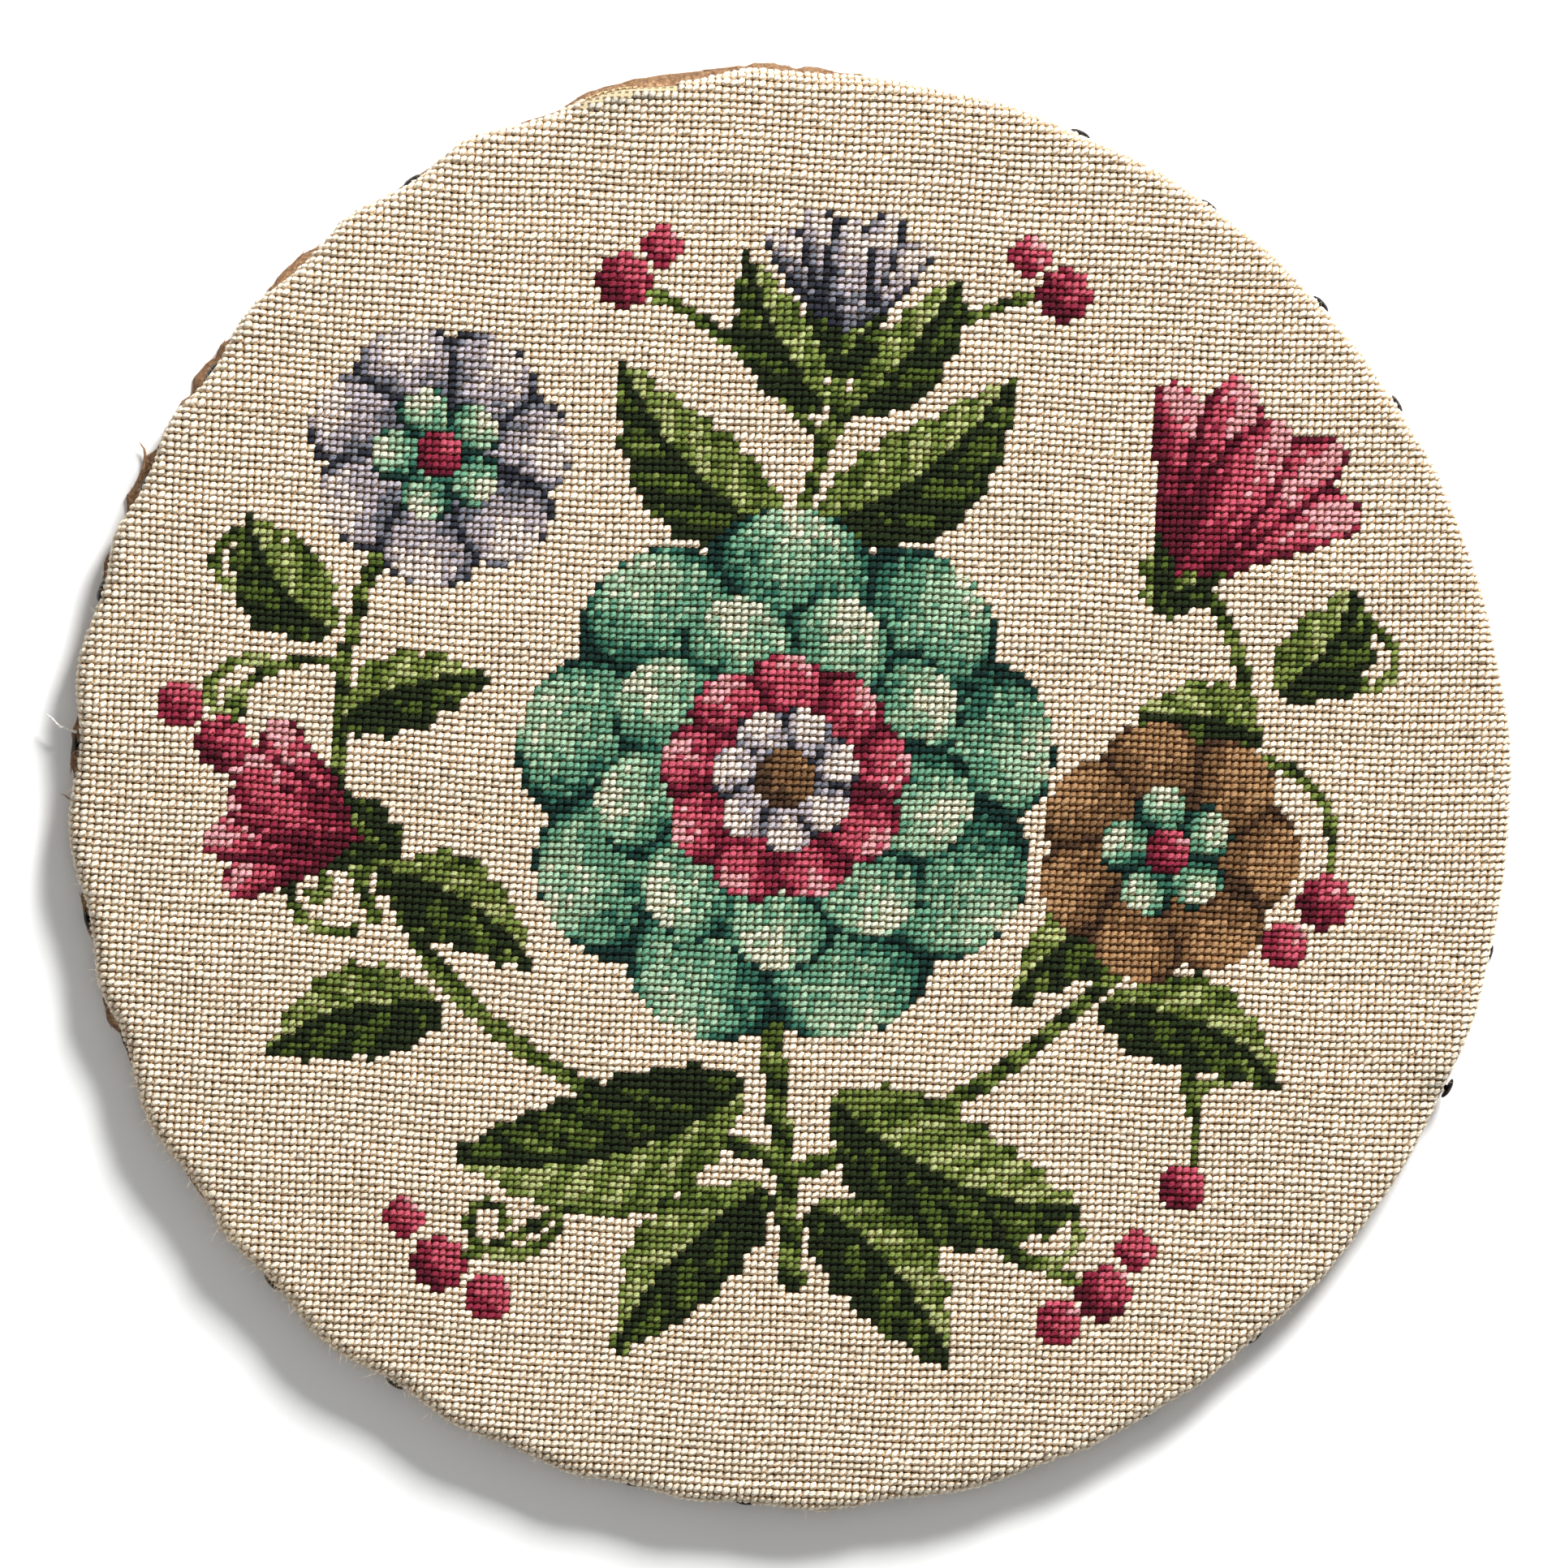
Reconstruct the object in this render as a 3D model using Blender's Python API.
"""A needlepoint panel: stitched canvas stretched over a round board and tacked round its side.

The panel lies flat on its back with its face up. +X is the right of its face and +Y the top.
The origin is the middle of the board's underside. Lengths are in metres. Angles are in degrees,
counted from +X towards +Y.
"""

from math import cos, exp, radians, sin

import bmesh
import bpy
from mathutils import Matrix

# Whole panel.
PANEL_RADIUS = 0.2096
BOARD_THICKNESS = 0.0120
CLOTH_THICKNESS = 0.0020
CLEARANCE = 0.0003
FRONT_ROUNDING = 0.0046
ROUNDING_STEPS = 4

# The outline isn't a true circle. Each row is one wave round it, and where the wave is highest.
OUTLINE_WAVES = (
    # waves in a turn, height, angle of a crest
    (1, 0.00018, 322.0),
    (2, 0.00070, 133.0),
    (3, 0.00014, 8.0),
    (4, 0.00030, 27.0),
    (6, 0.00028, 51.0),
    (7, 0.00021, 11.0),
    (16, 0.00020, 4.0),
    (19, 0.00015, 1.0),
)

# The cloth's lower edge was cut by eye, so its height above the underside wanders.
EDGE_HEIGHT = 0.0038
EDGE_WAVES = (
    # waves in a turn, height, angle of a crest
    (5, 0.00030, 100.0),
    (8, 0.00022, 176.0),
    (17, 0.00012, 60.0),
)

# Round the side each tack draws the cloth in, so the outline is scalloped. A head that stands out less
# than nothing past the outline is sunk so deep in the wool that it doesn't show from above.
TACKS = (
    # angle, how far it draws the edge in, how far its head stands out past the outline there
    (9.9, 0.0004, -0.0001),
    (21.1, 0.0004, -0.0001),
    (32.3, 0.0005, 0.0010),
    (42.3, 0.0006, 0.0012),
    (54.2, 0.0005, 0.0004),
    (66.0, 0.0009, 0.0009),
    (77.2, 0.0007, -0.0001),
    (88.2, 0.0007, -0.0001),
    (98.5, 0.0022, -0.0001),
    (110.4, 0.0028, -0.0001),
    (121.7, 0.0029, 0.0007),
    (133.0, 0.0022, -0.0001),
    (144.0, 0.0024, 0.0004),
    (154.5, 0.0024, 0.0003),
    (163.8, 0.0023, 0.0009),
    (176.3, 0.0029, 0.0016),
    (190.4, 0.0026, 0.0014),
    (200.8, 0.0025, 0.0004),
    (213.5, 0.0023, -0.0001),
    (223.6, 0.0023, 0.0011),
    (236.4, 0.0021, 0.0011),
    (247.5, 0.0016, -0.0001),
    (257.2, 0.0017, 0.0003),
    (266.5, 0.0018, 0.0006),
    (278.5, 0.0014, -0.0001),
    (290.0, 0.0007, -0.0001),
    (299.9, 0.0009, 0.0005),
    (310.3, 0.0008, 0.0008),
    (323.0, 0.0006, -0.0001),
    (335.4, 0.0006, 0.0022),
    (346.7, 0.0005, 0.0007),
    (358.3, 0.0004, -0.0001),
)
TACK_HEIGHT = 0.0059
SEAT_TOP = 0.0092
SHALLOWEST_SEAT = 0.0004
CRUSHED_WOOL = 0.0008
SEAT_SPREAD = 2.0
SEAT_HALF_ANGLE = 0.95
STEPS_BETWEEN_SEATS = 5
SCALLOP_SPREAD = 2.7

# A cut tack: a domed head on a square shank that tapers to its tip.
HEAD_RADIUS = 0.0031
HEAD_RIM = 0.00035
HEAD_SHOULDER_RADIUS = 0.0021
HEAD_SHOULDER = 0.0008
HEAD_THICKNESS = 0.0011
HEAD_SIDES = 12
SHANK_LENGTH = 0.0100
SHANK_WIDTH = 0.0015
TIP_WIDTH = 0.0005
HOLE_PAST_TIP = 0.0004

# The board's rounded front edge is inside the cloth's, and its back ply is splintered.
PLY_THICKNESS = 0.0015
PLY_SLOPE_TOP = 0.0025
NO_SPLINTER = -0.0030
SPLINTERS = (
    # angle, how far the back ply stands out past the lining of the untacked cloth, in order
    (83.4, 0.0010),
    (84.2, 0.0024),
    (86.2, 0.0020),
    (87.6, 0.0030),
    (88.9, 0.0029),
    (89.1, 0.0020),
    (91.2, 0.0035),
    (92.7, 0.0035),
    (93.3, 0.0028),
    (96.0, 0.0026),
    (98.4, 0.0022),
    (102.4, 0.0030),
    (106.2, 0.0024),
    (108.8, -0.0005),
    (130.5, -0.0007),
    (130.8, 0.0012),
    (131.3, 0.0008),
    (132.5, 0.0020),
    (135.1, 0.0019),
    (135.5, 0.0009),
    (136.1, 0.0026),
    (136.7, 0.0001),
    (141.2, 0.0005),
    (141.6, 0.0022),
    (143.0, 0.0008),
    (143.3, 0.0016),
    (145.3, 0.0027),
    (146.5, 0.0004),
    (147.3, 0.0018),
    (148.1, 0.0015),
    (148.4, 0.0006),
    (151.7, 0.0008),
    (152.1, 0.0036),
    (153.4, 0.0018),
    (155.5, 0.0021),
    (156.0, 0.0028),
    (156.4, 0.0021),
    (157.3, 0.0002),
    (160.4, 0.0004),
    (160.8, 0.0016),
    (161.7, 0.0018),
    (163.2, -0.0006),
    (174.2, 0.0001),
    (175.3, 0.0015),
    (176.3, 0.0011),
    (178.0, 0.0015),
    (178.7, 0.0003),
    (188.0, -0.0002),
    (188.7, 0.0011),
    (191.4, 0.0009),
    (192.3, -0.0001),
    (196.2, 0.0004),
    (196.8, 0.0019),
    (197.9, 0.0019),
    (198.5, 0.0026),
    (199.4, 0.0025),
    (200.0, 0.0003),
    (212.0, -0.0005),
    (212.6, 0.0005),
    (215.0, 0.0006),
    (215.6, -0.0006),
    (223.9, -0.0006),
    (224.5, 0.0006),
    (225.5, -0.0006),
)

# Heights that follow from the sizes above.
FACE_HEIGHT = BOARD_THICKNESS + CLEARANCE + CLOTH_THICKNESS
ROUNDING_HEIGHT = FACE_HEIGHT - FRONT_ROUNDING

WOOL = (0.78, 0.66, 0.48, 1.0)
WOOD = (0.36, 0.23, 0.12, 1.0)
BLUED_STEEL = (0.03, 0.03, 0.035, 1.0)


def clear_scene():
    """Remove whatever the scene holds."""
    for old in list(bpy.data.objects):
        bpy.data.objects.remove(old)


def principled(name, color, roughness, metallic):
    """Make a plain material."""
    material = bpy.data.materials.new(name)
    material.use_nodes = True
    shader = material.node_tree.nodes["Principled BSDF"]
    shader.inputs["Base Color"].default_value = color
    shader.inputs["Roughness"].default_value = roughness
    shader.inputs["Metallic"].default_value = metallic
    return material


def add_object(name, bm, material, sharp_angle=35.0):
    """Turn a bmesh into a named object, smooth but for its sharp edges."""
    mesh = bpy.data.meshes.new(name)
    bm.to_mesh(mesh)
    bm.free()
    mesh.materials.append(material)
    mesh.shade_smooth()
    mesh.set_sharp_from_angle(angle=radians(sharp_angle))
    made = bpy.data.objects.new(name, mesh)
    bpy.context.scene.collection.objects.link(made)
    return made


def waves(angle, rows):
    """Sum a table's waves at one angle."""
    return sum(height * cos(radians(count * (angle - crest))) for count, height, crest in rows)


def corner_angles():
    """List the outline's corners: a flat seat for each tack, even steps between, and splinters."""
    corners = [angle for angle, _ in SPLINTERS]
    for index, (angle, _, _) in enumerate(TACKS):
        following = TACKS[(index + 1) % len(TACKS)][0]
        start = angle + SEAT_HALF_ANGLE
        span = (following - angle) % 360.0 - 2 * SEAT_HALF_ANGLE
        corners.append((angle - SEAT_HALF_ANGLE) % 360.0)
        for step in range(STEPS_BETWEEN_SEATS):
            corners.append((start + span * step / STEPS_BETWEEN_SEATS) % 360.0)
    return sorted(corners)


def fade(angle, place, spread):
    """How strongly a tack at one place still pulls at an angle, from 1 on its seat to 0 far off."""
    away = abs((angle - place + 180.0) % 360.0 - 180.0)
    return exp(-((max(away - SEAT_HALF_ANGLE, 0.0) / spread) ** 2))


def relaxed_radius(angle):
    """The outer radius that the cloth would have without its tacks."""
    return PANEL_RADIUS + waves(angle, OUTLINE_WAVES)


def cloth_radius(angle):
    """The outer radius of the cloth at its widest, drawn in at each tack."""
    pull = max(depth * fade(angle, place, SCALLOP_SPREAD) for place, depth, _ in TACKS)
    return relaxed_radius(angle) - pull


def seat_depth(past):
    """How far inside the outline a tack's seat lies."""
    return max(HEAD_THICKNESS + CLEARANCE - past, SHALLOWEST_SEAT)


def side_inset(angle):
    """How far inside the outline the cloth's side lies below the tacks' tops."""
    return max(seat_depth(past) * fade(angle, place, SEAT_SPREAD) for place, _, past in TACKS)


def side_radius(angle):
    """The outer radius of the cloth's side."""
    return cloth_radius(angle) - side_inset(angle)


def lining_radius(angle):
    """The inner radius of the cloth's side. Past some depth, a seat presses into the board too."""
    crushed = max(side_inset(angle) - CRUSHED_WOOL, 0.0)
    return cloth_radius(angle) - CLOTH_THICKNESS - crushed


def add_ring(bm, angles, point_at):
    """Add one closed ring of points, each given by its angle as a radius and a height."""
    ring = []
    for angle in angles:
        radius, height = point_at(angle)
        ring.append(bm.verts.new((radius * cos(radians(angle)), radius * sin(radians(angle)), height)))
    return ring


def join_rings(bm, rings, inward=False):
    """Skin neighbouring rings. All diagonals run the same way, so nested skins stay apart."""
    for lower, upper in zip(rings, rings[1:]):
        for index in range(len(lower)):
            after = (index + 1) % len(lower)
            for face in (
                (lower[index], lower[after], upper[after]),
                (lower[index], upper[after], upper[index]),
            ):
                bm.faces.new(face[::-1] if inward else face)


def rounding(inset, radius):
    """Angles up the rounded front edge, as an inset from the outline and a height."""
    for step in range(ROUNDING_STEPS + 1):
        rise = radians(90.0 * step / ROUNDING_STEPS)
        yield inset + radius * (1 - cos(rise)), ROUNDING_HEIGHT + radius * sin(rise)


def build_cover(corners, material):
    """The cloth: one piece over the face, round the front edge and down the side."""
    bm = bmesh.new()

    def ring(radius_at, height, inset=0.0):
        return add_ring(bm, corners, lambda a: (radius_at(a) - inset, height))

    def edge_ring(radius_at):
        return add_ring(bm, corners, lambda a: (radius_at(a), EDGE_HEIGHT + waves(a, EDGE_WAVES)))

    inner_edge = edge_ring(lining_radius)
    outside = [inner_edge, edge_ring(side_radius), ring(side_radius, SEAT_TOP)]
    for inset, height in rounding(0.0, FRONT_ROUNDING):
        outside.append(ring(cloth_radius, height, inset))
    join_rings(bm, outside)
    bm.faces.new(outside[-1])

    lining = [inner_edge, ring(lining_radius, SEAT_TOP)]
    for inset, height in rounding(CLOTH_THICKNESS, FRONT_ROUNDING - CLOTH_THICKNESS):
        lining.append(ring(cloth_radius, height, inset))
    join_rings(bm, lining, inward=True)
    bm.faces.new(lining[-1][::-1])
    return add_object("canvas_cover", bm, material)


def ply_reach(angle):
    """How far the splintered back ply stands out past the lining of the untacked cloth."""
    for (start, low), (end, high) in zip(SPLINTERS, SPLINTERS[1:]):
        if start <= angle <= end:
            return low + (high - low) * (angle - start) / (end - start)
    return NO_SPLINTER


def build_board(corners, material):
    """The board: its side follows the cloth's inner side and its back ply is splintered."""
    bm = bmesh.new()
    covering = CLOTH_THICKNESS + CLEARANCE

    def ring(radius_at, height):
        return add_ring(bm, corners, lambda a: (radius_at(a), height))

    def side(angle):
        return lining_radius(angle) - CLEARANCE

    def ply(angle):
        return max(side(angle), relaxed_radius(angle) - covering + ply_reach(angle))

    rings = [ring(ply, 0.0), ring(ply, PLY_THICKNESS), ring(side, PLY_SLOPE_TOP), ring(side, SEAT_TOP)]
    for inset, height in rounding(covering, FRONT_ROUNDING - covering):
        rings.append(ring(lambda a: cloth_radius(a) - inset, height))
    join_rings(bm, rings)
    bm.faces.new(rings[0][::-1])
    bm.faces.new(rings[-1])
    return add_object("board", bm, material)


def square_ring(bm, x, half):
    """Four points of a square across the X axis."""
    return [bm.verts.new((x, y * half, z * half)) for y, z in ((1, 1), (-1, 1), (-1, -1), (1, -1))]


def round_ring(bm, x, radius):
    """A ring of points round the X axis."""
    turn = 360.0 / HEAD_SIDES
    return [
        bm.verts.new((x, radius * cos(radians(turn * i)), radius * sin(radians(turn * i))))
        for i in range(HEAD_SIDES)
    ]


def join_square_to_round(bm, square, ring):
    """Close the flat band between a square and the ring round it, facing -X."""
    share = len(ring) // len(square)
    for index, corner in enumerate(square):
        fan = [ring[(index * share + step) % len(ring)] for step in range(share + 1)]
        for near, far in zip(fan, fan[1:]):
            bm.faces.new((corner, far, near))
        bm.faces.new((corner, square[(index + 1) % len(square)], fan[-1]))


def tack_mesh():
    """A tack along the X axis: the head's underside is at zero and the tip points to -X."""
    bm = bmesh.new()
    tip = square_ring(bm, -SHANK_LENGTH, TIP_WIDTH / 2)
    neck = square_ring(bm, 0.0, SHANK_WIDTH / 2)
    underside = round_ring(bm, 0.0, HEAD_RADIUS)
    rim = round_ring(bm, HEAD_RIM, HEAD_RADIUS)
    shoulder = round_ring(bm, HEAD_SHOULDER, HEAD_SHOULDER_RADIUS)
    crown = bm.verts.new((HEAD_THICKNESS, 0.0, 0.0))
    bm.faces.new(tip[::-1])
    join_rings(bm, [tip, neck])
    join_square_to_round(bm, neck, underside)
    join_rings(bm, [underside, rim, shoulder])
    for index, vert in enumerate(shoulder):
        bm.faces.new((vert, shoulder[(index + 1) % HEAD_SIDES], crown))
    return bm


def hole_mesh():
    """The hole that a shank stands in: the same taper, clear of it all round."""
    bm = bmesh.new()
    end = square_ring(bm, -SHANK_LENGTH - HOLE_PAST_TIP, TIP_WIDTH / 2 + CLEARANCE)
    mouth = square_ring(bm, HEAD_THICKNESS, SHANK_WIDTH / 2 + CLEARANCE)
    bm.faces.new(end[::-1])
    join_rings(bm, [end, mouth])
    bm.faces.new(mouth)
    return bm


def tack_matrix(place, past):
    """Where a tack stands: its head over the flat seat, its shank pointing at the middle."""
    turn = radians(place)
    edges = [cloth_radius(place + swing) for swing in (-SEAT_HALF_ANGLE, SEAT_HALF_ANGLE)]
    outline = sum(edges) / 2 * cos(radians(SEAT_HALF_ANGLE))
    along = outline + past - HEAD_THICKNESS
    return Matrix.Translation((along * cos(turn), along * sin(turn), TACK_HEIGHT)) @ Matrix.Rotation(
        turn, 4, "Z"
    )


def build_tacks(material):
    """One object for each tack, all of one form."""
    for number, (place, _, past) in enumerate(TACKS, 1):
        made = add_object(f"tack_{number:02d}", tack_mesh(), material)
        made.matrix_world = tack_matrix(place, past)


def cut_tack_holes(pierced):
    """Cut the shanks' holes out of the cloth and the board."""
    cutter = bmesh.new()
    for place, _, past in TACKS:
        hole = hole_mesh()
        hole.transform(tack_matrix(place, past))
        mesh = bpy.data.meshes.new("hole")
        hole.to_mesh(mesh)
        hole.free()
        cutter.from_mesh(mesh)
    mesh = bpy.data.meshes.new("tack_holes")
    cutter.to_mesh(mesh)
    cutter.free()
    holes = bpy.data.objects.new("tack_holes", mesh)
    holes.hide_render = True
    holes.display_type = "WIRE"
    bpy.context.scene.collection.objects.link(holes)
    for piece in pierced:
        cut = piece.modifiers.new("tack holes", "BOOLEAN")
        cut.operation = "DIFFERENCE"
        cut.object = holes


clear_scene()
corners = corner_angles()
cover = build_cover(corners, principled("cream wool", WOOL, 0.9, 0.0))
board = build_board(corners, principled("sawn wood", WOOD, 0.8, 0.0))
build_tacks(principled("blued steel", BLUED_STEEL, 0.4, 0.9))
cut_tack_holes((cover, board))
